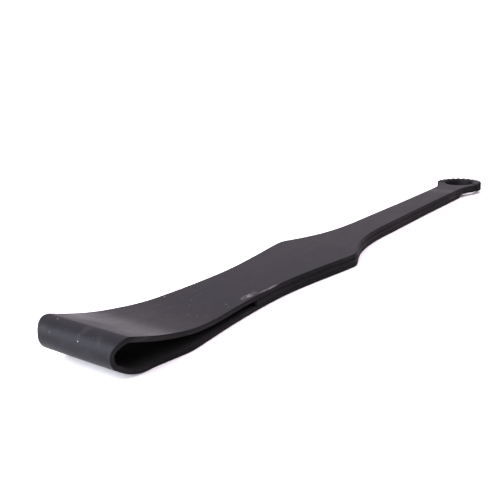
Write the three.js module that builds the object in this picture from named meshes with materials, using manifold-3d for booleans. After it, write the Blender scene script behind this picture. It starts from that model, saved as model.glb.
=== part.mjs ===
// Long shoehorn with a folded, springy blade. Millimetres.
// X runs from the fold of the blade to the round hanging end, Y is the width and +Z is up.
// The origin is on the resting plane, under the middle of the length.
//
// One flexible strip lies on the underside, folds back over itself at the blade and returns as the
// top. A core fills the space between its two runs from the root of the slit to the handle's end,
// a stiffener lies in the core, and the ribbed end grip plugs in between the runs.
import * as THREE from 'three';
import { mergeVertices } from 'three/addons/utils/BufferGeometryUtils.js';
import Module from 'manifold-3d';

const wasm = await Module();
wasm.setup();

// ---- Driving dimensions (lengths are measured from the fold's foremost point) ----
const THICKNESS = 8.5; // strip + core + strip
const LEAF = 2.5; // thickness of the flexible strip
const BOND = 0.2; // glue line between two layers
const BUTT_GAP = 0.3; // clearance where two pieces meet end to end

const FOLD_HEIGHT = 21.1; // top of the fold above the resting plane
const FOLD_RADIUS = 7.9; // outside radius of the tight bend
const LIFT_ANGLE = THREE.MathUtils.degToRad(33); // how steeply the lower run rises into the bend
const LIFT_RADIUS = 28.5; // outside radius of that rise
const RAMP_ANGLE = THREE.MathUtils.degToRad(18.5); // slope of the upper run behind the bend
const RAMP_RADIUS = 195; // radius with which the slope runs out into the flat top

const SLIT_ROOT = 106.5; // where the slit between the two leaves ends
const HANDLE_JOINT = 414; // where the top run and the core end against the end grip
const LOWER_RUN_END = 423.5; // where the lower run ends, leaving a step under the grip
const RING_CENTRE = 448.5; // centre of the round end and of its hanging hole

const RING_RADIUS = 17.8; // to the bottom of the grooves between the ribs
const RIB_HEIGHT = 1.5;
const RIM_HEIGHT = 0.8; // how far the ribbed rim stands above the handle's top
const RIM_WIDTH = 5;
const RIBS_PER_TURN = 24;
const RIBS = 14; // ribs on the round end, with a groove between two of them on the centre line
const HANG_HOLE_RADIUS = 12;
const FLARE_RADIUS = 60; // hollow curve from the handle's side into the round end

// Half widths of the outline where it is widest or narrowest, and how far along each one is.
const FOLD_HALF = 24; // at the front of the fold and under it
const CREST_HALF = 27; // on top of the fold
const BLADE_HALF = 26.8;
const BLADE_AT = 48;
const WAIST_HALF = 21;
const WAIST_AT = 127;
const SHOULDER_HALF = 28.6;
const SHOULDER_AT = 201;
const NECK_HALF = 12;
const NECK_AT = 278;
const HANDLE_HALF = 11;
const HANDLE_AT = 360;

const STIFFENER_START = 150;
const STIFFENER_END = 380;
const STIFFENER_HALF = 6;
const STIFFENER_THICKNESS = 2.5;
const TANG_LENGTH = 30;
const TANG_HALF = 6;

// ---- Derived sizes ----
const RIB_PITCH = (2 * Math.PI) / RIBS_PER_TURN;
const LAST_RIB = (RIBS * RIB_PITCH) / 2; // angle at which the ribs end on either side
const LENGTH = RING_CENTRE + (RING_RADIUS + RIB_HEIGHT) * Math.cos(RIB_PITCH / 2);
const CORE_BOTTOM = LEAF + BOND;
const CORE_TOP = THICKNESS - LEAF - BOND;
const FOLD_Z = FOLD_HEIGHT - FOLD_RADIUS; // height of the bend's centre
const LIFT_START =
  FOLD_RADIUS +
  (LIFT_RADIUS + (FOLD_Z - LIFT_RADIUS) * Math.cos(LIFT_ANGLE) - FOLD_RADIUS) / Math.sin(LIFT_ANGLE);

// ---- Outline: half width along the length ----

// A curve between two places where the outline runs parallel to the length. The leads say how far
// it keeps that direction at each end.
function sway(fromX, fromHalf, toX, toHalf, leadOut, leadIn) {
  return new THREE.CubicBezierCurve(
    new THREE.Vector2(fromX, fromHalf),
    new THREE.Vector2(fromX + leadOut, fromHalf),
    new THREE.Vector2(toX - leadIn, toHalf),
    new THREE.Vector2(toX, toHalf),
  );
}

const crestToBlade = sway(FOLD_RADIUS, CREST_HALF, BLADE_AT, BLADE_HALF, 28, 8);
const foldToBlade = sway(LIFT_START, FOLD_HALF, BLADE_AT, BLADE_HALF, 8, 8);
const paddle = [
  sway(BLADE_AT, BLADE_HALF, WAIST_AT, WAIST_HALF, 8, 41),
  sway(WAIST_AT, WAIST_HALF, SHOULDER_AT, SHOULDER_HALF, 27, 10),
  sway(SHOULDER_AT, SHOULDER_HALF, NECK_AT, NECK_HALF, 11, 56),
  sway(NECK_AT, NECK_HALF, HANDLE_AT, HANDLE_HALF, 20, 20),
];
const DIVISIONS = 24; // steps along each curve of the outline

function walk(curves) {
  return curves.flatMap((curve, i) => curve.getPoints(DIVISIONS).slice(i === 0 ? 0 : 1));
}

// The outline's points past a given place, with the half width worked out at that place.
function outlineFrom(start, points) {
  const next = points.findIndex((p) => p.x > start);
  const before = points[next - 1];
  const after = points[next];
  const share = (start - before.x) / (after.x - before.x);
  return [before.clone().lerp(after, share), ...points.slice(next)];
}

// ---- Strip: a ribbon of constant thickness that follows the fold ----

// A station holds the ribbon's outer and inner point in the X-Z plane and its half width.
function station(x, z, inwardX, inwardZ, half) {
  return {
    outer: [x, z],
    inner: [x + LEAF * inwardX, z + LEAF * inwardZ],
    half,
  };
}

// An arc of stations about a centre. Angles are those of the outer points seen from the centre.
function arcStations(centreX, centreZ, radius, fromAngle, toAngle, steps, halfAt) {
  const stations = [];
  const side = Math.sign(radius); // a negative radius puts the centre outside the ribbon
  for (let i = 0; i <= steps; i += 1) {
    const angle = THREE.MathUtils.lerp(fromAngle, toAngle, i / steps);
    const dx = Math.cos(angle);
    const dz = Math.sin(angle);
    const x = centreX + Math.abs(radius) * dx;
    const z = centreZ + Math.abs(radius) * dz;
    stations.push(station(x, z, -side * dx, -side * dz, halfAt(x, i / steps)));
  }
  return stations;
}

function halfWidthOn(points) {
  return (x) => {
    const next = points.findIndex((p) => p.x >= x);
    if (next <= 0) return points[0].y;
    const before = points[next - 1];
    const after = points[next];
    return THREE.MathUtils.lerp(before.y, after.y, (x - before.x) / (after.x - before.x));
  };
}

function stripStations() {
  const quarter = Math.PI / 2;
  const lowerOutline = walk([foldToBlade, ...paddle]);
  const upperOutline = walk([crestToBlade, ...paddle]);

  // Lower run, from the step under the grip forward to the rise.
  const lower = [new THREE.Vector2(LOWER_RUN_END, HANDLE_HALF), ...[...lowerOutline].reverse()]
    .map((p) => station(p.x, 0, 0, 1, p.y));
  lower.pop(); // the rise starts with the same station
  const lift = arcStations(
    LIFT_START, LIFT_RADIUS, LIFT_RADIUS, -quarter, -quarter - LIFT_ANGLE, 8, () => FOLD_HALF,
  );

  // The tight bend turns from the rise to the slope, widening towards its top.
  const widen = THREE.MathUtils.smoothstep;
  const bend = arcStations(
    FOLD_RADIUS, FOLD_Z, FOLD_RADIUS, 3 * quarter - LIFT_ANGLE, quarter - RAMP_ANGLE, 24,
    (x, share) => FOLD_HALF + (CREST_HALF - FOLD_HALF) * widen(share, 0.35, 0.85),
  );

  // The slope falls in a straight line, then in an arc, to the flat top.
  const crest = bend[bend.length - 1].outer;
  const cornerX = crest[0] + (crest[1] - THICKNESS) / Math.tan(RAMP_ANGLE);
  const runOut = RAMP_RADIUS * Math.tan(RAMP_ANGLE / 2);
  const flatStart = cornerX + runOut;
  const halfAt = halfWidthOn(upperOutline);
  const slopeEnd = cornerX - runOut * Math.cos(RAMP_ANGLE);
  const slopeSteps = 8;
  const slope = [];
  for (let i = 1; i < slopeSteps; i += 1) {
    const x = THREE.MathUtils.lerp(crest[0], slopeEnd, i / slopeSteps);
    const z = crest[1] - (x - crest[0]) * Math.tan(RAMP_ANGLE);
    slope.push(station(x, z, -Math.sin(RAMP_ANGLE), -Math.cos(RAMP_ANGLE), halfAt(x)));
  }
  const settle = arcStations(
    flatStart, THICKNESS + RAMP_RADIUS, -RAMP_RADIUS, -quarter - RAMP_ANGLE, -quarter, 12, halfAt,
  );

  const top = [
    ...outlineFrom(flatStart, upperOutline).slice(1),
    new THREE.Vector2(HANDLE_JOINT, HANDLE_HALF),
  ].map((p) => station(p.x, THICKNESS, 0, -1, p.y));
  return [...lower, ...lift, ...bend, ...slope, ...settle, ...top];
}

// Joins the stations into one closed ribbon with square edges.
function ribbon(stations) {
  const position = [];
  const index = [];
  const CORNERS = 4;
  stations.forEach(({ outer, inner, half }, i) => {
    position.push(outer[0], half, outer[1]);
    position.push(outer[0], -half, outer[1]);
    position.push(inner[0], -half, inner[1]);
    position.push(inner[0], half, inner[1]);
    if (i === 0) return;
    const here = i * CORNERS;
    const last = here - CORNERS;
    for (let c = 0; c < CORNERS; c += 1) {
      const d = (c + 1) % CORNERS;
      index.push(last + c, last + d, here + d);
      index.push(last + c, here + d, here + c);
    }
  });
  const end = (stations.length - 1) * CORNERS;
  index.push(0, 2, 1, 0, 3, 2);
  index.push(end, end + 1, end + 2, end, end + 2, end + 3);
  const geometry = new THREE.BufferGeometry();
  geometry.setAttribute('position', new THREE.Float32BufferAttribute(position, 3));
  geometry.setIndex(index);
  return geometry;
}

// ---- Flat layers ----

function plate(shape, bottom, top) {
  const geometry = new THREE.ExtrudeGeometry(shape, { depth: top - bottom, bevelEnabled: false });
  geometry.translate(0, 0, bottom);
  return geometry;
}

// A slot or bar with round ends, lying along the length.
function roundEnded(path, start, end, half) {
  path.moveTo(start + half, -half);
  path.lineTo(end - half, -half);
  path.absarc(end - half, 0, half, -Math.PI / 2, Math.PI / 2, false);
  path.lineTo(start + half, half);
  path.absarc(start + half, 0, half, Math.PI / 2, (3 * Math.PI) / 2, false);
  return path;
}

// The core has the outline of the strip from the slit's root on, a closed slot for the stiffener
// and an open slot at its end for the grip's tang.
function coreGeometry() {
  const side = outlineFrom(SLIT_ROOT, walk(paddle));
  const slotHalf = TANG_HALF + BUTT_GAP;
  const slotStart = HANDLE_JOINT - TANG_LENGTH - BUTT_GAP;
  const shape = new THREE.Shape();
  shape.moveTo(side[0].x, -side[0].y);
  side.slice(1).forEach((p) => shape.lineTo(p.x, -p.y));
  shape.lineTo(HANDLE_JOINT, -HANDLE_HALF);
  shape.lineTo(HANDLE_JOINT, -slotHalf);
  shape.lineTo(slotStart, -slotHalf);
  shape.lineTo(slotStart, slotHalf);
  shape.lineTo(HANDLE_JOINT, slotHalf);
  shape.lineTo(HANDLE_JOINT, HANDLE_HALF);
  [...side].reverse().forEach((p) => shape.lineTo(p.x, p.y));
  shape.closePath();
  const slot = roundEnded(
    new THREE.Path(),
    STIFFENER_START - BUTT_GAP,
    STIFFENER_END + BUTT_GAP,
    STIFFENER_HALF + BUTT_GAP,
  );
  shape.holes.push(slot);
  return plate(shape, CORE_BOTTOM, CORE_TOP);
}

function stiffenerGeometry() {
  const middle = THICKNESS / 2;
  const shape = roundEnded(new THREE.Shape(), STIFFENER_START, STIFFENER_END, STIFFENER_HALF);
  return plate(shape, middle - STIFFENER_THICKNESS / 2, middle + STIFFENER_THICKNESS / 2);
}

// ---- End grip: a tang, a flared neck and a round end with a raised, ribbed rim and a hanging hole ----

function solid(geometry) {
  const bare = geometry.clone();
  bare.deleteAttribute('normal');
  bare.deleteAttribute('uv');
  const merged = mergeVertices(bare);
  return new wasm.Manifold(new wasm.Mesh({
    numProp: 3,
    vertProperties: new Float32Array(merged.attributes.position.array),
    triVerts: new Uint32Array(merged.index.array),
  }));
}

function geometryOf(manifold) {
  const mesh = manifold.getMesh();
  const geometry = new THREE.BufferGeometry();
  geometry.setAttribute('position', new THREE.BufferAttribute(mesh.vertProperties, 3));
  geometry.setIndex(new THREE.BufferAttribute(mesh.triVerts, 1));
  return geometry;
}

// Rounded ribs meet in sharp grooves around the round end.
function ribbedEdge(angle) {
  const radius = RING_RADIUS + RIB_HEIGHT * Math.abs(Math.sin((angle * Math.PI) / RIB_PITCH));
  return new THREE.Vector2(RING_CENTRE + radius * Math.cos(angle), radius * Math.sin(angle));
}

// All the ribs in turn, from the near side round the end to the far side.
function ribbedArc() {
  const stepsPerRib = 6;
  const steps = RIBS * stepsPerRib;
  const points = [];
  for (let i = 0; i <= steps; i += 1) {
    points.push(ribbedEdge(THREE.MathUtils.lerp(-LAST_RIB, LAST_RIB, i / steps)));
  }
  return points;
}

function rimOutline() {
  const [first, ...rest] = ribbedArc();
  const shape = new THREE.Shape();
  shape.moveTo(first.x, first.y);
  rest.forEach((p) => shape.lineTo(p.x, p.y));
  shape.absarc(RING_CENTRE, 0, RING_RADIUS - RIM_WIDTH, LAST_RIB, -LAST_RIB, true);
  shape.closePath();
  return shape;
}

function gripOutline() {
  const start = HANDLE_JOINT + BUTT_GAP;
  const flareReach = Math.sqrt(
    (RING_RADIUS + FLARE_RADIUS) ** 2 - (HANDLE_HALF + FLARE_RADIUS) ** 2,
  );
  const flareX = RING_CENTRE - flareReach;
  const flareY = HANDLE_HALF + FLARE_RADIUS;
  const meet = Math.atan2(flareReach, flareY); // angle at which the flare joins the round end
  const shape = new THREE.Shape();
  shape.moveTo(start, -HANDLE_HALF);
  shape.lineTo(flareX, -HANDLE_HALF);
  shape.absarc(flareX, -flareY, FLARE_RADIUS, Math.PI / 2, Math.PI / 2 - meet, true);
  ribbedArc().forEach((p) => shape.lineTo(p.x, p.y));
  shape.absarc(flareX, flareY, FLARE_RADIUS, meet - Math.PI / 2, -Math.PI / 2, true);
  shape.lineTo(start, HANDLE_HALF);
  shape.closePath();
  const hole = new THREE.Path();
  hole.absarc(RING_CENTRE, 0, HANG_HOLE_RADIUS, 0, 2 * Math.PI, false);
  shape.holes.push(hole);
  return shape;
}

function tangOutline() {
  const start = HANDLE_JOINT - TANG_LENGTH;
  const end = HANDLE_JOINT + 2 * BUTT_GAP; // reaches into the grip so that the two are one solid
  const shape = new THREE.Shape();
  shape.moveTo(start, -TANG_HALF);
  shape.lineTo(end, -TANG_HALF);
  shape.lineTo(end, TANG_HALF);
  shape.lineTo(start, TANG_HALF);
  shape.closePath();
  return shape;
}

function endGripGeometry() {
  const ring = solid(plate(gripOutline(), CORE_BOTTOM, THICKNESS));
  const rim = solid(plate(rimOutline(), CORE_BOTTOM, THICKNESS + RIM_HEIGHT));
  const tang = solid(plate(tangOutline(), CORE_BOTTOM, CORE_TOP));
  return geometryOf(ring.add(rim).add(tang));
}

// ---- Assembly ----

function piece(name, geometry, color, roughness, metalness) {
  const mesh = new THREE.Mesh(geometry, new THREE.MeshStandardMaterial({ color, roughness, metalness }));
  mesh.name = name;
  mesh.position.x = -LENGTH / 2;
  return mesh;
}

const shoehorn = new THREE.Group();
shoehorn.add(piece('blade_strip', ribbon(stripStations()), 0x35343a, 0.55, 0));
shoehorn.add(piece('handle_core', coreGeometry(), 0x2b2a2e, 0.6, 0));
shoehorn.add(piece('stiffener_bar', stiffenerGeometry(), 0x8d9094, 0.4, 0.9));
shoehorn.add(piece('end_grip', endGripGeometry(), 0x2f2e34, 0.65, 0));

export default shoehorn;
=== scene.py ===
import math

import bmesh
import bpy
import numpy as np
from mathutils import Matrix, Vector


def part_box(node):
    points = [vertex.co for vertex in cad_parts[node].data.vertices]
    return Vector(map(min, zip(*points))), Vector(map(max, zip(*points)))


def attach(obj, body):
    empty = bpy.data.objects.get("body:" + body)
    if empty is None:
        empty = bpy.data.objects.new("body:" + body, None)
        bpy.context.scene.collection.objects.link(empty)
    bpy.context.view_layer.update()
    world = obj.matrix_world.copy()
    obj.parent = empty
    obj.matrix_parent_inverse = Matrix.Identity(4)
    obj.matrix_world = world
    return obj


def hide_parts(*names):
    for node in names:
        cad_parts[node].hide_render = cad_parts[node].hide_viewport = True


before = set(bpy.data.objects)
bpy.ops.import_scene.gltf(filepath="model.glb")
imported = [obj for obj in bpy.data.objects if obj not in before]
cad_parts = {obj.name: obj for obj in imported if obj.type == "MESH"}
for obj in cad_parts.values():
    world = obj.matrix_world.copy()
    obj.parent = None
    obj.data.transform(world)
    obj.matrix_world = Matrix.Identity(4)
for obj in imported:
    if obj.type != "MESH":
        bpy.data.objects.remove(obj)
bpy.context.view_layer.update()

# The long shoehorn's surfaces, built on the outlines of its CAD nodes. Lengths are millimetres
# unless a comment says otherwise. X runs from the blade's fold to the hanging end, Z is up.
MM = 0.001

# ---- Sizes of the finished surface ----
WELD = 0.001  # corners closer than this are one corner
SUPPORT = 0.25  # flat margin beside a rounding that keeps the flat face flat
CORNER_STEPS = 4  # steps in a quarter-round
SEAM_STEPS = 2  # and in one at the strip's upper end
REFINE = 3  # new steps in each step of the CAD's outline
REFINED_GAP = 0.3  # a step no longer than this stays one step
CORNER_TURN = 30  # degrees; a sharper turn than this stays a corner
FACES_UP = 0.99  # least Z of a normal that counts as facing up
FACES_SIDE = 0.5  # least Y of one that counts as facing sideways
HEIGHT_SLACK = 0.05  # how far a face may be from the height that is asked for
LEAST_COSINE = 0.5  # keeps a sharp corner's inset from growing without end

LEAF_ROUND = 0.6  # rounding of the strip's outer edges
LEAF_INNER_ROUND = 0.4  # rounding of its inner edges inside the loop
LEAST_ROUND = 0.02  # what is left of either where an end's own rounding uses it up
INNER_EASING = 3  # length over which the inner rounding fades out at the slit's root
END_ROUND = 0.4  # rounding of the strip's lower end, at the step under the grip
SEAM_ROUND = 0.06  # rounding where two glued pieces meet
SEAM_GAP = 0.02  # the gap asked for at a glued joint; new_piece() keeps the CAD's wider one
SEAM_REACH = 0.13  # how far the strip's upper end is drawn out towards the grip

GRIP_ROUND = 0.6  # rounding of the grip's outer edges
HOLE_ROUND = 0.3  # and of its hole's
HOLE_SUPPORT = 0.1  # flat margin beside that
GROOVE_REACH = 2.6  # how far a groove between two ribs cuts into the grip's rim
GROOVE_DROP = 0.9  # how deep it is there
RIM_ROUND = 0.35  # rounding of the raised rim's inner edge
RIM_FILLET = 0.15  # and of the corner at its foot
RIM_DRAFT = 0.1  # how far its inner side leans
RIM_SUPPORT = 0.05  # flat margin before the corner at its foot
PLAIN_SPREAD = 0.1  # share of these roundings' width that is kept where there is no rim
RIM_RUN_OUT = 9  # degrees over which the raised rim fades out at either end


# ---- Reading the CAD ----

def welded(node):
    """The node's mesh with its shared corners joined."""
    bm = bmesh.new()
    bm.from_mesh(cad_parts[node].data)
    bmesh.ops.scale(bm, vec=Vector((1, 1, 1)) / MM, verts=bm.verts)
    bmesh.ops.remove_doubles(bm, verts=bm.verts, dist=WELD)
    bm.normal_update()
    return bm


def borders(node, wanted):
    """The closed lines of points round the node's faces that wanted() picks, the longest first."""
    bm = welded(node)
    picked = {f.index for f in bm.faces if wanted(f)}
    edges = [e for e in bm.edges if sum(f.index in picked for f in e.link_faces) == 1]
    beside = {}
    for e in edges:
        a, b = e.verts
        beside.setdefault(a, []).append(b)
        beside.setdefault(b, []).append(a)
    lines = []
    left = set(beside)
    for start in sorted(beside, key=lambda v: tuple(v.co)):
        if start not in left:
            continue
        line = [start]
        left.discard(start)
        while True:
            ahead = [v for v in beside[line[-1]] if v in left]
            if not ahead:
                break
            line.append(min(ahead, key=lambda v: tuple(v.co)))
            left.discard(line[-1])
        lines.append(np.array([v.co[:] for v in line]))
    bm.free()
    return sorted(lines, key=len, reverse=True)


def facing_up_at(height):
    return lambda f: f.normal.z > FACES_UP and abs(f.calc_center_median().z - height) < HEIGHT_SLACK


def box_mm(node):
    return [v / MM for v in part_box(node)]


def strip_stations():
    """Outer X and Z, inner X and Z and half width along the strip, from under the grip to its top end."""
    side = borders("blade_strip", lambda f: f.normal.y > FACES_SIDE)[0]
    low = side[:, 2] < WELD
    start = np.where(low)[0][np.argmax(side[low, 0])]
    side = np.roll(side, -start, axis=0)
    if side[1, 2] > WELD:
        side = np.roll(side[::-1], 1, axis=0)
    half = len(side) // 2
    outer = side[:half]
    inner = side[half:][::-1]
    return np.column_stack([outer[:, 0], outer[:, 2], inner[:, 0], inner[:, 2], outer[:, 1]])


def grip_lines(flat_top, rim_top):
    """The grip's outline from above, the hole's outline, and the raised rim's inner radius and
    the angle at which it ends on either side."""
    flat = borders("end_grip", facing_up_at(flat_top))
    raised = borders("end_grip", facing_up_at(rim_top))[0]
    hole = min(flat, key=lambda line: np.ptp(line[:, 0]))
    outer = max(flat, key=lambda line: np.ptp(line[:, 0]))
    centre = hole[:, :2].mean(0)
    rim_ray = raised[:, :2] - centre
    away = np.linalg.norm(rim_ray, axis=1)
    last_turn = np.degrees(np.arctan2(rim_ray[:, 1], rim_ray[:, 0])).max()
    between = (away.min() + away.max()) / 2
    spots = {}
    for point in np.vstack([outer, raised]):
        x, y = point[:2] - centre
        if math.hypot(x, y) > between:
            spots[round(math.atan2(y, x), 4)] = point
    outline = np.array([spots[angle] for angle in sorted(spots)])
    return outline, hole, away.min(), last_turn


STATIONS = strip_stations()
NOSE = box_mm("blade_strip")[0].x
SLIT_ROOT, CORE_TOP = box_mm("handle_core")[0].x, box_mm("handle_core")[1].z
LOWER_FACE, UPPER_FACE = STATIONS[0, 3], STATIONS[-1, 3]  # heights of the strip's inner faces
HANDLE_TOP, RIM_TOP = STATIONS[-1, 1], box_mm("end_grip")[1].z
GRIP_OUTLINE, HOLE_OUTLINE, RIM_INNER_RADIUS, RIM_LAST_TURN = grip_lines(HANDLE_TOP, RIM_TOP)
HOLE_CENTRE = tuple(HOLE_OUTLINE.mean(0))
HOLE_RADIUS = np.ptp(HOLE_OUTLINE[:, 0]) / 2


# ---- Smoother lines through the CAD's points ----

def refined(points, closed=False):
    """Points on a smooth curve through the given ones. Sharp corners and ends stay as they are."""
    p = np.asarray(points, float)
    n = len(p)
    ahead = np.roll(p, -1, axis=0)
    gap = np.linalg.norm(ahead - p, axis=1)[:, None]
    slope = (ahead - p) / np.maximum(gap, 1e-9)
    back_slope = np.roll(slope, 1, axis=0)
    back_gap = np.roll(gap, 1, axis=0)
    tangent = (back_slope * gap + slope * back_gap) / (gap + back_gap)
    corner = (slope * back_slope).sum(1) < math.cos(math.radians(CORNER_TURN))
    if not closed:
        corner[0] = corner[-1] = True
    out = []
    for i in range(n if closed else n - 1):
        j = (i + 1) % n
        leave = gap[i] * (slope[i] if corner[i] else tangent[i])
        arrive = gap[i] * (slope[i] if corner[j] else tangent[j])
        steps = REFINE if gap[i] > REFINED_GAP else 1
        for k in range(steps):
            t = k / steps
            start_share = 2 * t**3 - 3 * t**2 + 1
            out.append(
                start_share * p[i] + (1 - start_share) * p[j]
                + (t**3 - 2 * t**2 + t) * leave + (t**3 - t**2) * arrive
            )
    if not closed:
        out.append(p[-1])
    return np.array(out)


# ---- Meshes ----

def new_piece(name, bm, node):
    """Turns the mesh into an object, with its points moved into its CAD node's box.

    At a glued joint that keeps the CAD's own gap, and cuts flat the rounding that lies outside it.
    """
    low, high = box_mm(node)
    for vert in bm.verts:
        vert.co = [min(max(v, a), b) for v, a, b in zip(vert.co, low, high)]
    bmesh.ops.recalc_face_normals(bm, faces=bm.faces)
    bmesh.ops.scale(bm, vec=Vector((MM, MM, MM)), verts=bm.verts)
    mesh = bpy.data.meshes.new(name)
    bm.to_mesh(mesh)
    bm.free()
    mesh.shade_smooth()
    piece = bpy.data.objects.new(name, mesh)
    bpy.context.scene.collection.objects.link(piece)
    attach(piece, "root")
    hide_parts(node)
    return piece


def quarter(steps=CORNER_STEPS):
    """Shares of a rounding's inset and drop, from the flat face to the upright side."""
    turns = [math.pi / 2 * k / steps for k in range(steps + 1)]
    return [(1 - math.sin(a), 1 - math.cos(a)) for a in turns]


def band(bm, ring_a, ring_b):
    """The faces between two closed rings of corners, in the rings' order."""
    n = len(ring_a)
    faces = []
    for i in range(n):
        j = (i + 1) % n
        faces.append(bm.faces.new((ring_a[i], ring_a[j], ring_b[j], ring_b[i])))
    return faces


def into_material(line, is_hole):
    """At each point of a closed outline, the step that moves both its edges inward by 1."""
    flat = np.asarray(line)[:, :2]
    ahead = np.roll(flat, -1, axis=0) - flat
    ahead /= np.linalg.norm(ahead, axis=1)[:, None]
    left = np.stack([-ahead[:, 1], ahead[:, 0]], 1)
    mean = left + np.roll(left, 1, axis=0)
    mean /= np.linalg.norm(mean, axis=1)[:, None]
    stretch = 1 / np.maximum((mean * left).sum(1), LEAST_COSINE)
    follow = np.roll(flat, -1, axis=0)
    area = np.sum(flat[:, 0] * follow[:, 1] - follow[:, 0] * flat[:, 1])
    side = -1 if (area > 0) == is_hole else 1
    return mean * stretch[:, None] * side


class Rim:
    """A closed outline with its own rounding at each point: how far it reaches in and down."""

    def __init__(self, line, reach, drop, is_hole=False, support=SUPPORT):
        self.line = np.asarray(line)[:, :2]
        self.inward = into_material(line, is_hole)
        self.reach = np.broadcast_to(reach, len(self.line)).astype(float)
        self.drop = np.broadcast_to(drop, len(self.line)).astype(float)
        self.support = support
        self.raised = None  # how far the edge stands above the top face at each point
        self.width = None  # how wide it is there
        self.spread = None  # share of the raised edge's roundings that is used there

    def raised_levels(self, top):
        """Inset and height of the rings from the top face over the raised edge's inner side."""
        share = self.raised / self.raised.max()
        before = self.width + self.spread * (RIM_DRAFT + RIM_FILLET + RIM_SUPPORT)
        levels = [(before, top)]
        for inset, fall in quarter():
            foot = self.width + self.spread * (RIM_DRAFT + RIM_FILLET * inset)
            levels.append((foot, top + RIM_FILLET * fall * share))
        for inset, fall in quarter():
            edge = self.width - self.spread * RIM_ROUND * fall
            levels.append((edge, top + self.raised - RIM_ROUND * inset * share))
        return levels

    def rings(self, bm, bottom, top):
        """Rings of corners from the top face over the side to the bottom face."""
        levels = []
        if self.raised is not None:
            levels = self.raised_levels(top)
            top = top + self.raised
        levels.append((self.reach + self.support, top))
        for inset, fall in quarter():
            levels.append((self.reach * inset, top - self.drop * fall))
        for inset, fall in quarter()[::-1]:
            levels.append((self.reach * inset, bottom + self.drop * fall))
        levels.append((self.reach + self.support, bottom))
        made = []
        for inset, height in levels:
            spots = self.line + self.inward * inset[:, None]
            heights = np.broadcast_to(height, len(spots))
            made.append([bm.verts.new((x, y, z)) for (x, y), z in zip(spots, heights)])
        return made


def plate(bm, rims, bottom, top):
    """A plate between two heights, with rounded edges. Rims after the first are holes."""
    faces = ([], [])
    for rim in rims:
        rings = rim.rings(bm, bottom, top)
        for a, b in zip(rings, rings[1:]):
            band(bm, a, b)
        for edges, ring in zip(faces, (rings[0], rings[-1])):
            edges += [bm.edges.get((ring[i - 1], ring[i])) for i in range(len(ring))]
    for edges in faces:
        bmesh.ops.triangle_fill(bm, use_beauty=True, use_dissolve=False, edges=edges)


# ---- Strip: one flexible ribbon, folded over at the blade ----

def section(station, outer_round, inner_round, inset):
    """Points round the strip's cross-section at one station."""
    x_out, z_out, x_in, z_in, half = station
    outer = np.array([x_out, z_out])
    depth = math.hypot(x_in - x_out, z_in - z_out)
    down = (np.array([x_in, z_in]) - outer) / depth
    outer = outer + down * inset
    depth -= 2 * inset
    half -= inset
    points = []
    for side, from_inner in ((1, False), (1, True), (-1, True), (-1, False)):
        radius = inner_round if from_inner else outer_round
        steps = [(radius + SUPPORT, 0)]
        steps += [(radius * a, radius * b) for a, b in quarter()]
        steps += [(0, radius + SUPPORT)]
        if (side == 1) == from_inner:
            steps = steps[::-1]
        for across, along in steps:
            d = depth - along if from_inner else along
            y = side * (half - across)
            points.append((outer[0] + down[0] * d, y, outer[1] + down[1] * d))
    return points


def mark_inner_face(faces):
    """Gives the strip's inner face, which is the middle of a band, the second material: the loop's
    painted shade.
    """
    middle = len(faces) // 2 - 1
    for face in faces[middle - 1 : middle + 2]:
        face.material_index = 1


def build_strip():
    stations = refined(STATIONS)
    bm = bmesh.new()
    rings = []

    def add(station, inset=0.0, shift=0.0):
        place = station + np.array([shift, 0, shift, 0, 0])
        share = min(max((SLIT_ROOT - place[0]) / INNER_EASING, 0), 1)
        inner = SEAM_ROUND + (LEAF_INNER_ROUND - SEAM_ROUND) * share
        outer_round = max(LEAF_ROUND - inset, LEAST_ROUND)
        inner_round = max(inner - inset, LEAST_ROUND)
        rings.append([bm.verts.new(s) for s in section(place, outer_round, inner_round, inset)])

    for back, inset in quarter()[::-1]:
        add(stations[0], END_ROUND * inset, -END_ROUND * back)
    for station in stations[1:-1]:
        add(station)
    for back, inset in quarter(SEAM_STEPS):
        add(stations[-1], SEAM_ROUND * inset, SEAM_REACH - SEAM_ROUND * back)
    for a, b in zip(rings, rings[1:]):
        faces = band(bm, a, b)
        if max(a[0].co.x, b[0].co.x) < SLIT_ROOT:
            mark_inner_face(faces)
    bm.faces.new(rings[0])
    bm.faces.new(rings[-1])
    return new_piece("strip_surface", bm, "blade_strip")


# ---- Core and end grip ----

def build_core():
    lines = [refined(line, closed=True) for line in borders("handle_core", facing_up_at(CORE_TOP))]
    rims = [Rim(line, SEAM_ROUND, SEAM_ROUND, k > 0) for k, line in enumerate(lines)]
    bm = bmesh.new()
    plate(bm, rims, LOWER_FACE + SEAM_GAP, UPPER_FACE - SEAM_GAP)
    return new_piece("core_surface", bm, "handle_core")


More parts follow.
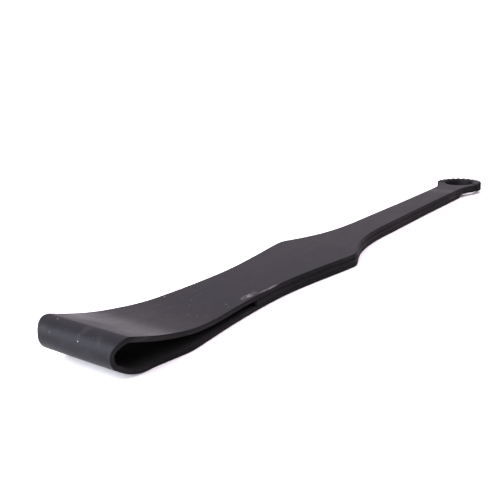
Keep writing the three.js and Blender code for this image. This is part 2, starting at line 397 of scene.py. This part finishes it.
def grip_rim(line, centre, height):
    """The grip's outline with a raised rim round the end, cut by a groove between every two ribs."""
    ray = line[:, :2] - centre
    distance = np.linalg.norm(ray, axis=1)
    turn = np.degrees(np.abs(np.arctan2(ray[:, 1], ray[:, 0])))
    ribbed = turn < RIM_LAST_TURN + WELD
    tip = distance[ribbed].max()
    valley = distance[ribbed].min()
    groove = np.clip((tip - distance) / (tip - valley), 0, 1) * ribbed
    at_joint = line[:, 0] < line[:, 0].min() + WELD
    reach = GRIP_ROUND + (GROOVE_REACH - GRIP_ROUND) * groove
    drop = GRIP_ROUND + (GROOVE_DROP - GRIP_ROUND) * groove
    rim = Rim(line, np.where(at_joint, SEAM_ROUND, reach), np.where(at_joint, SEAM_ROUND, drop))
    rim.inward = np.where(ribbed[:, None], -ray / distance[:, None], rim.inward)
    fade = np.clip((RIM_LAST_TURN - turn) / RIM_RUN_OUT, 0, 1)
    rim.raised = fade * fade * (3 - 2 * fade) * height
    wide = np.clip(1 - (turn - RIM_LAST_TURN) / RIM_RUN_OUT, 0, 1)
    rim.spread = PLAIN_SPREAD + (1 - PLAIN_SPREAD) * wide
    narrow = rim.reach + SUPPORT + 2 * PLAIN_SPREAD * RIM_ROUND
    full = np.where(ribbed, distance, valley) - RIM_INNER_RADIUS
    rim.width = narrow + (full - narrow) * wide
    return rim


def build_grip():
    hole_line = refined(HOLE_OUTLINE, closed=True)
    centre = hole_line[:, :2].mean(0)
    rim = grip_rim(refined(GRIP_OUTLINE, closed=True), centre, RIM_TOP - HANDLE_TOP)
    hole = Rim(hole_line, HOLE_ROUND, HOLE_ROUND, True, HOLE_SUPPORT)
    bm = bmesh.new()
    plate(bm, [rim, hole], LOWER_FACE + SEAM_GAP, HANDLE_TOP)
    return new_piece("grip_surface", bm, "end_grip")


# ---- Shader nodes ----

class Nodes:
    """Short ways to add nodes to a tree. A value is a number, a tuple or another node's output."""

    COLOR_A, COLOR_B, COLOR_RESULT = 6, 7, 2  # a Mix node's sockets for colours

    def __init__(self, tree):
        self.tree = tree

    def add(self, kind, **settings):
        node = self.tree.nodes.new(kind)
        for name, value in settings.items():
            setattr(node, name, value)
        return node

    def put(self, socket, value):
        if isinstance(value, bpy.types.NodeSocket):
            self.tree.links.new(value, socket)
        elif socket.type == "RGBA":
            socket.default_value = (*value, 1)
        else:
            socket.default_value = value

    def vector(self, operation, a, b=None, scale=None):
        node = self.add("ShaderNodeVectorMath", operation=operation)
        self.put(node.inputs[0], a)
        if b is not None:
            self.put(node.inputs[1], b)
        if scale is not None:
            self.put(node.inputs["Scale"], scale)
        return node.outputs["Value" if operation in ("LENGTH", "DOT_PRODUCT") else "Vector"]

    def math(self, operation, a, b=0.0, clamp=False):
        node = self.add("ShaderNodeMath", operation=operation, use_clamp=clamp)
        self.put(node.inputs[0], a)
        self.put(node.inputs[1], b)
        return node.outputs[0]

    def added(self, value, extra, share):
        """value plus a share of extra."""
        return self.math("ADD", value, self.math("MULTIPLY", extra, share))

    def split(self, vector):
        """The X, Y and Z parts of a vector."""
        node = self.add("ShaderNodeSeparateXYZ")
        self.put(node.inputs[0], vector)
        return node.outputs

    def ramp(self, value, low, high, to_low=0.0, to_high=1.0):
        """value from low to high becomes to_low to to_high, with soft ends."""
        node = self.add("ShaderNodeMapRange", interpolation_type="SMOOTHSTEP")
        self.put(node.inputs["Value"], value)
        self.put(node.inputs["From Min"], low)
        self.put(node.inputs["From Max"], high)
        self.put(node.inputs["To Min"], to_low)
        self.put(node.inputs["To Max"], to_high)
        return node.outputs["Result"]

    def mix(self, share, a, b):
        """Colour a, with a share of colour b."""
        node = self.add("ShaderNodeMix", data_type="RGBA")
        self.put(node.inputs["Factor"], share)
        self.put(node.inputs[self.COLOR_A], a)
        self.put(node.inputs[self.COLOR_B], b)
        return node.outputs[self.COLOR_RESULT]


class Paint(Nodes):
    """A procedural material with one surface shader. Its patterns are measured in millimetres."""

    def __init__(self, name):
        self.material = bpy.data.materials.new(name)
        self.material.use_nodes = True
        super().__init__(self.material.node_tree)
        self.shader = self.tree.nodes["Principled BSDF"]
        coordinates = self.add("ShaderNodeTexCoord")
        self.place = self.vector("SCALE", coordinates.outputs["Object"], scale=1 / MM)
        self.normal = coordinates.outputs["Normal"]

    def give(self, socket, value):
        self.put(self.shader.inputs[socket], value)

    def noise(self, stretch, detail, roughness, seed):
        """Cloudy noise; stretch holds the cycles per millimetre along X, Y and Z."""
        moved = self.vector("ADD", self.vector("MULTIPLY", self.place, stretch), (seed, seed, seed))
        node = self.add("ShaderNodeTexNoise")
        self.put(node.inputs["Vector"], moved)
        self.put(node.inputs["Scale"], 1.0)
        self.put(node.inputs["Detail"], detail)
        self.put(node.inputs["Roughness"], roughness)
        return node.outputs["Fac"]

    def specks(self, per_mm, radius, share, seed, amount):
        """Small round specks: amount times share of a scattered grid's cells hold one each."""
        moved = self.vector("ADD", self.place, (seed, seed, seed))
        node = self.add("ShaderNodeTexVoronoi")
        self.put(node.inputs["Vector"], moved)
        self.put(node.inputs["Scale"], per_mm)
        split = self.add("ShaderNodeSeparateColor")
        self.put(split.inputs[0], node.outputs["Color"])
        size = self.math("MULTIPLY", split.outputs[1], radius * per_mm)
        near = self.math("LESS_THAN", node.outputs["Distance"], size)
        chosen = self.math("LESS_THAN", split.outputs[0], share * amount)
        strength = self.math("MULTIPLY", near, chosen)
        return self.math("MULTIPLY", strength, split.outputs[2])

    def blob(self, centre, half_sizes, core, strength=1.0):
        """A soft ellipsoid: full strength inside core's share of it, nothing outside."""
        offset = self.vector("SUBTRACT", self.place, centre)
        squeeze = tuple(1 / half for half in half_sizes)
        reach = self.vector("LENGTH", self.vector("MULTIPLY", offset, squeeze))
        return self.ramp(reach, 1.0, core, 0.0, strength)

    def bump(self, height, distance_mm, strength, after=None):
        node = self.add("ShaderNodeBump")
        self.put(node.inputs["Height"], height)
        self.put(node.inputs["Distance"], distance_mm * MM)
        self.put(node.inputs["Strength"], strength)
        if after is not None:
            self.put(node.inputs["Normal"], after)
        return node.outputs["Normal"]


# ---- Charcoal polymer. Colours are linear. ----
DEEP = (0.0046, 0.0047, 0.0068)  # the surface is mottled between these two
PALE = (0.0092, 0.0090, 0.0115)
SIDE_PAINTED_SHADE = (0.0030, 0.0026, 0.0030)  # painted shade: the upright side edges are darker
RIM_PAINTED_SHADE = (0.0022, 0.0022, 0.0030)  # painted shade: the ribbed rim is darker too
DUST = (0.42, 0.40, 0.41)
SCUFF = (0.19, 0.18, 0.18)
INSIDE_SHADE_DEEP = (0.0155, 0.0160, 0.0160)  # painted shade: the loop's inner face gets a dull tone and no gloss
INSIDE_SHADE_PALE = (0.0250, 0.0255, 0.0255)

CLOUD_SHARE, STREAK_SHARE = 0.8, 0.2  # of the mottled shade between deep and pale
SMEAR_TINT = 0.06
SCUFF_TINT = 0.8
GRAIN_DEPTH, GRAIN_STRENGTH = 0.02, 0.5
STREAK_DEPTH, STREAK_STRENGTH = 0.04, 0.06

ROUGHNESS = 0.47
STREAK_ROUGHER = 0.025  # more and less of it in the streaks
CLOUD_ROUGHER = 0.04
SMEAR_ROUGHER = 0.08
SCUFF_ROUGHER = 0.12
EDGE_ROUGHER = 0.22
WORN_SMOOTHER = 0.10
SPECULAR = 0.09
IOR = 1.48

# Noise: cycles per millimetre along X, Y and Z, then detail, roughness and seed
CLOUDS = ((0.02, 0.03, 0.05), 4, 0.6, 3)
STREAKS = ((0.012, 0.9, 0.6), 3, 0.6, 11)
GRAIN = ((2.6, 2.6, 2.6), 2, 0.6, 5)
SMEARS = ((0.035, 0.16, 0.16), 5, 0.65, 21)
PATCH_BREAKS = ((0.5, 1.3, 1.0), 5, 0.7, 31)
LINE_BREAKS = ((0.3, 0.8, 0.8), 3, 0.6, 41)
INSIDE_CLOUDS = ((0.05, 0.05, 0.05), 3, 0.6, 9)

# Ramps: where a noise or a distance starts to count, and where it counts in full
MOTTLE = (0.3, 0.7)
STREAK = (0.25, 0.75)
SMEAR = (0.52, 0.78)
PATCH_BROKEN = (0.42, 0.6)
LINE_BROKEN = (0.36, 0.55, 0.25, 1.0)  # the line never breaks up wholly
UPRIGHT = (0.15, 0.6)  # how much of a normal lies along Y
RIM_OUTWARD = (0.2, 1.6)  # past the hole's edge
RIM_ALONG = (-7, -2)  # along X from the hole's centre

# Specks: cells per millimetre, largest radius, share of the cells that hold one, and seed
DUST_SPECKS = (0.25, 0.40, 0.5, 7.0)
LINT_SPECKS = (0.5, 0.26, 0.4, 19.0)
DUSTY_TO, CLEAN_FROM = NOSE + 50, NOSE + 120
DUSTY_STRENGTH, CLEAN_STRENGTH = 0.7, 0.1  # up to the first place, and from the second on

WORN_AT = NOSE + 28  # the slope behind the fold is polished by use
WORN_HALF, WORN_CORE = 17, 2  # no polish further than the first, full polish within the second
PATCH_AT = (NOSE + 104, -17.8, HANDLE_TOP)  # a rubbed patch beside the slit's root
PATCH_HALF = (9, 2.6, 4)
LINE_AT = (NOSE + 119, -20.3, HANDLE_TOP)  # a worn line past it, along the near edge
LINE_HALF = (12, 1.1, 1.1)


def sideways(paint):
    """1 on the upright side edges, 0 on the faces that look up, down, forward or back."""
    return paint.ramp(paint.math("ABSOLUTE", paint.split(paint.normal)[1]), *UPRIGHT)


def ribbed_rim(paint):
    """1 on the ribbed rim round the grip's end, which painted shade makes darker than the flat faces."""
    across = paint.vector("MULTIPLY", paint.vector("SUBTRACT", paint.place, HOLE_CENTRE), (1, 1, 0))
    outward = [HOLE_RADIUS + past for past in RIM_OUTWARD]
    along = [HOLE_CENTRE[0] + past for past in RIM_ALONG]
    away = paint.ramp(paint.vector("LENGTH", across), *outward)
    return paint.math("MULTIPLY", away, paint.ramp(paint.split(paint.place)[0], *along))


def scuffs(paint):
    """The rubbed patch and the worn line, both broken up by noise."""
    patch = paint.blob(PATCH_AT, PATCH_HALF, core=0.2)
    patch = paint.math("MULTIPLY", patch, paint.ramp(paint.noise(*PATCH_BREAKS), *PATCH_BROKEN))
    line = paint.blob(LINE_AT, LINE_HALF, core=0.3, strength=0.6)
    line = paint.math("MULTIPLY", line, paint.ramp(paint.noise(*LINE_BREAKS), *LINE_BROKEN))
    return paint.math("ADD", patch, line, True)


def dusting(paint, amount, lying):
    """Dust and lint on the faces that aren't side edges, thickest at the front."""
    dust = paint.specks(*DUST_SPECKS, amount)
    lint = paint.specks(*LINT_SPECKS, amount)
    along = paint.split(paint.place)[0]
    front = paint.ramp(along, DUSTY_TO, CLEAN_FROM, DUSTY_STRENGTH, CLEAN_STRENGTH)
    specks = paint.math("MULTIPLY", paint.math("ADD", dust, lint, True), front)
    return paint.math("MULTIPLY", specks, lying)


def charcoal(name, dust_amount, scuffed=False, painted_rim_shade=False):
    """Matte charcoal polymer: mottled, faintly streaked along its length, with dust and scuffs, and
    painted shade that darkens the side edges and, where asked, the ribbed rim.
    """
    paint = Paint(name)
    edge = sideways(paint)
    lying = paint.math("SUBTRACT", 1.0, edge)
    clouds = paint.noise(*CLOUDS)
    streaks = paint.noise(*STREAKS)
    smear = paint.ramp(paint.noise(*SMEARS), *SMEAR)

    shade = paint.added(paint.math("MULTIPLY", clouds, CLOUD_SHARE), streaks, STREAK_SHARE)
    color = paint.mix(paint.ramp(shade, *MOTTLE), DEEP, PALE)
    # painted shade: the upright side edges are darker
    color = paint.mix(edge, color, SIDE_PAINTED_SHADE)
    if painted_rim_shade:
        # painted shade on the ribbed rim
        color = paint.mix(ribbed_rim(paint), color, RIM_PAINTED_SHADE)
    color = paint.mix(paint.math("MULTIPLY", smear, SMEAR_TINT), color, SCUFF)
    color = paint.mix(dusting(paint, dust_amount, lying), color, DUST)

    rough = paint.ramp(streaks, *STREAK, ROUGHNESS - STREAK_ROUGHER, ROUGHNESS + STREAK_ROUGHER)
    rough = paint.math("ADD", rough, paint.ramp(clouds, *MOTTLE, -CLOUD_ROUGHER, CLOUD_ROUGHER))
    rough = paint.added(rough, smear, SMEAR_ROUGHER)
    rough = paint.added(rough, edge, EDGE_ROUGHER)
    if scuffed:
        marks = scuffs(paint)
        color = paint.mix(paint.math("MULTIPLY", marks, SCUFF_TINT), color, SCUFF)
        rough = paint.added(rough, marks, SCUFF_ROUGHER)
        along = paint.split(paint.place)[0]
        beside = paint.math("ABSOLUTE", paint.math("SUBTRACT", along, WORN_AT))
        rough = paint.added(rough, paint.ramp(beside, WORN_HALF, WORN_CORE), -WORN_SMOOTHER)

    normal = paint.bump(paint.noise(*GRAIN), GRAIN_DEPTH, GRAIN_STRENGTH)
    drawn = paint.math("MULTIPLY", streaks, lying)
    normal = paint.bump(drawn, STREAK_DEPTH, STREAK_STRENGTH, normal)
    paint.give("Base Color", color)
    paint.give("Roughness", rough)
    paint.give("Normal", normal)
    paint.give("Specular IOR Level", SPECULAR)
    paint.give("IOR", IOR)
    return paint.material


def loop_inside_painted_shade():
    """The strip's inner face in the loop: dull and dark, painted shade for the inside of the fold."""
    paint = Paint("loop_inside_painted_shade")
    paint.give("Base Color", paint.mix(paint.noise(*INSIDE_CLOUDS), INSIDE_SHADE_DEEP, INSIDE_SHADE_PALE))
    paint.give("Roughness", 0.9)
    # painted shade: no gloss, so the loop's inside stays dark
    paint.give("Specular IOR Level", 0.0)
    return paint.material


# ---- Spring steel ----
STEEL_LINES = ((0.02, 6, 6), 4, 0.6, 2)
STEEL_TONES = ((0.32, 0.33, 0.35), (0.6, 0.61, 0.63))
STEEL_ROUGHNESS = (0.28, 0.45)


def spring_steel():
    """Plain cold-rolled steel with lengthwise rolling marks."""
    paint = Paint("spring_steel")
    lines = paint.noise(*STEEL_LINES)
    paint.give("Base Color", paint.mix(lines, *STEEL_TONES))
    paint.give("Roughness", paint.ramp(lines, *MOTTLE, *STEEL_ROUGHNESS))
    paint.give("Normal", paint.bump(lines, distance_mm=0.01, strength=0.4))
    paint.give("Metallic", 1.0)
    paint.give("Anisotropic", 0.5)
    return paint.material


# ---- Studio: a pale floor, a soft sky and two softboxes. Their sizes and places are metres. ----
FLOOR_SIZE = 8
FLOOR_DROP = 0.05 * MM  # keeps the floor clear of the resting face
FLOOR_TONES = ((0.915, 0.91, 0.918), (0.93, 0.925, 0.93))
FLOOR_CLOUDS = ((0.004, 0.004, 0.004), 2, 0.5, 1)

SKY_BEHIND = (0.35, 0.94, 0.0)  # the way from the camera's side to the far side
SKY_NEAR = (0.27, 0.24, 0.27)
SKY_FAR = (0.80, 0.70, 0.79)
SKY_LOW = (1.22, 1.12, 1.20)
SKY_ABOVE = (2.5, 2.25, 2.45)
FAR_SIDE = (-0.3, 0.6)  # how much of a direction points that way
HORIZON = (0.06, 0.16)  # how high it points at the bright band's upper edge
OVERHEAD = (0.25, 0.85)  # and where the light from above sets in

# Place, aim, diameter, watts and colour
SOFTBOXES = {
    "left_softbox": ((-1.0, 0.6, 0.45), (-0.2, 0, 0), 0.9, 23.0, (0.87, 0.92, 1.0)),
    "front_softbox": ((-1.2, -0.1, 0.45), (-0.24, 0, 0), 0.7, 7.0, (1.0, 0.99, 1.0)),
}


def add_floor():
    paint = Paint("pale_floor")
    paint.give("Base Color", paint.mix(paint.noise(*FLOOR_CLOUDS), *FLOOR_TONES))
    paint.give("Roughness", 0.9)
    paint.give("Specular IOR Level", 0.1)
    mesh = bpy.data.meshes.new("floor")
    bm = bmesh.new()
    bmesh.ops.create_grid(bm, x_segments=1, y_segments=1, size=FLOOR_SIZE)
    bmesh.ops.translate(bm, verts=bm.verts, vec=(0, 0, -FLOOR_DROP))
    bm.to_mesh(mesh)
    bm.free()
    floor = bpy.data.objects.new("floor", mesh)
    bpy.context.scene.collection.objects.link(floor)
    floor.data.materials.append(paint.material)


def add_sky():
    """Soft light from all round: strongest above, weakest from the side that the camera is on,
    with a bright band along the horizon."""
    world = bpy.data.worlds.new("studio")
    bpy.context.scene.world = world
    world.use_nodes = True
    sky = Nodes(world.node_tree)
    direction = sky.add("ShaderNodeTexCoord").outputs["Generated"]
    toward = sky.vector("DOT_PRODUCT", direction, SKY_BEHIND)
    height = sky.split(direction)[2]
    color = sky.mix(sky.ramp(toward, *FAR_SIDE), SKY_NEAR, SKY_FAR)
    color = sky.mix(sky.ramp(height, *OVERHEAD), color, SKY_ABOVE)
    color = sky.mix(sky.ramp(height, *HORIZON), SKY_LOW, color)
    sky.put(sky.tree.nodes["Background"].inputs["Color"], color)


def add_light(name, place, aim, size, power, color):
    data = bpy.data.lights.new(name, "AREA")
    data.shape = "DISK"
    data.size = size
    data.energy = power
    data.color = color
    light = bpy.data.objects.new(name, data)
    bpy.context.scene.collection.objects.link(light)
    light.location = place
    light.rotation_euler = (Vector(aim) - Vector(place)).to_track_quat("-Z", "Y").to_euler()


# ---- Camera ----
LENS, SENSOR = 51.98832, 36
PITCH, YAW, ROLL = (math.radians(a) for a in (15.827, 37.545, -2.326))
CAMERA_PLACE = Vector((-417.135, -237.407, 136.586)) * MM
SHIFT = (0.01041, -0.00079)
CLIP_START = 10 * MM


def add_camera():
    data = bpy.data.cameras.new("camera")
    camera = bpy.data.objects.new("camera", data)
    bpy.context.scene.collection.objects.link(camera)
    flat_look = Vector((math.cos(YAW), math.sin(YAW), 0))
    look = flat_look * math.cos(PITCH) - Vector((0, 0, math.sin(PITCH)))
    side = Vector((math.sin(YAW), -math.cos(YAW), 0))
    up = side.cross(look)
    right = math.cos(ROLL) * side + math.sin(ROLL) * up
    above = -math.sin(ROLL) * side + math.cos(ROLL) * up
    turn = Matrix((right, above, -look)).transposed()
    camera.matrix_world = Matrix.Translation(CAMERA_PLACE) @ turn.to_4x4()
    data.sensor_width = SENSOR
    data.lens = LENS
    data.shift_x, data.shift_y = SHIFT
    data.clip_start = CLIP_START
    bpy.context.scene.camera = camera


# ---- The four pieces ----
strip = build_strip()
core = build_core()
grip = build_grip()
strip.data.materials.append(charcoal("strip_charcoal", 1.0, scuffed=True))
strip.data.materials.append(loop_inside_painted_shade())
core.data.materials.append(charcoal("core_charcoal", 0.5))
grip.data.materials.append(charcoal("grip_charcoal", 0.5, painted_rim_shade=True))
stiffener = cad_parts["stiffener_bar"]
stiffener.data.materials.clear()
stiffener.data.materials.append(spring_steel())

# ---- The studio ----
add_floor()
add_sky()
for name, setting in SOFTBOXES.items():
    add_light(name, *setting)
add_camera()
bpy.context.scene.view_settings.view_transform = "Standard"
